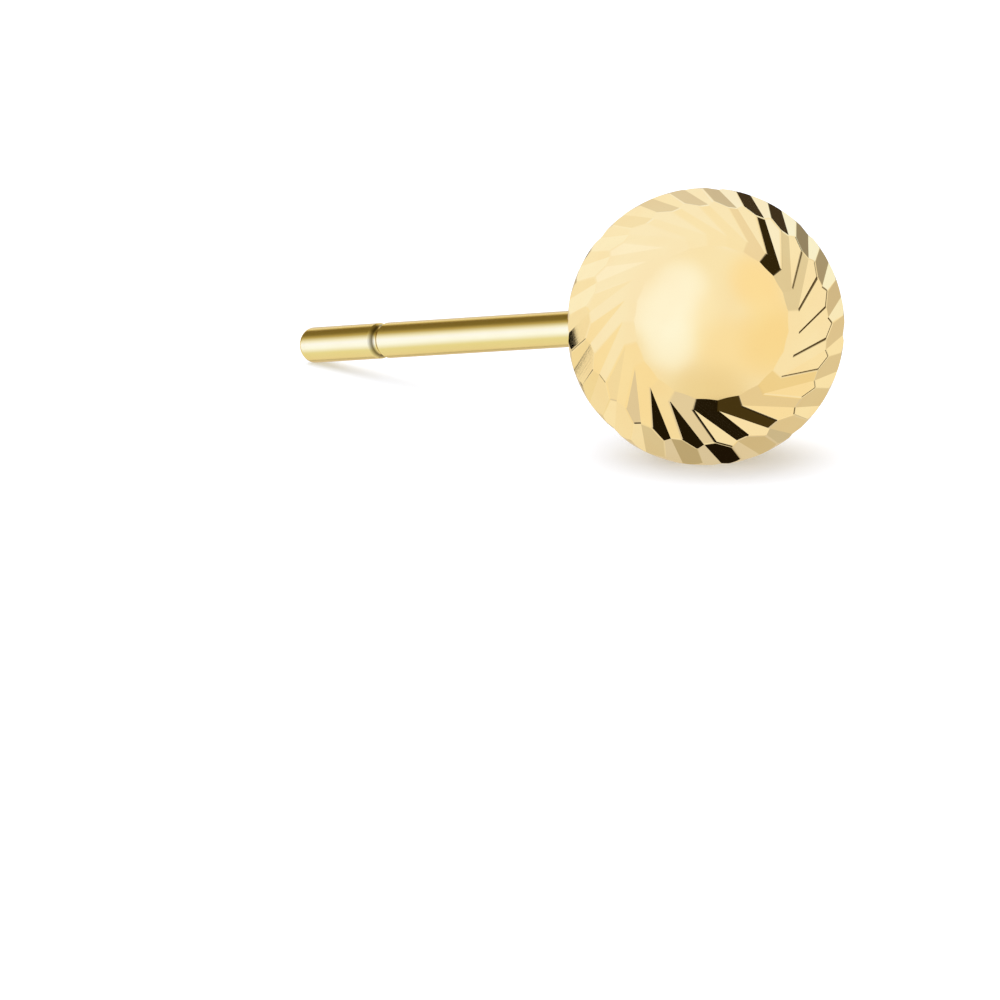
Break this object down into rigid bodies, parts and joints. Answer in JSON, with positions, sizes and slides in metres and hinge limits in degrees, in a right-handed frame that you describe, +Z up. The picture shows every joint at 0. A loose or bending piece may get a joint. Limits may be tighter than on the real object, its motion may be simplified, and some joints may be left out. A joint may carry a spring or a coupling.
{
  "type": "stud earring",
  "caption": "Gold ball stud earring with a smooth front dome, a swirl of diamond-cut pleats around it and a straight notched ear post, lying on its side.",
  "frame": {"origin": "centre of the bounding box, on the plane that the stud lies on", "axes": "+X along the post from its tip towards the ball, +Z up from the surface that the stud lies on"},
  "size_m": [0.0162, 0.0058, 0.0058],
  "materials": {
    "gold": "polished yellow gold"
  },
  "bodies": {
    "root": {"ball_stud": "gold"}
  },
  "joints": []
}
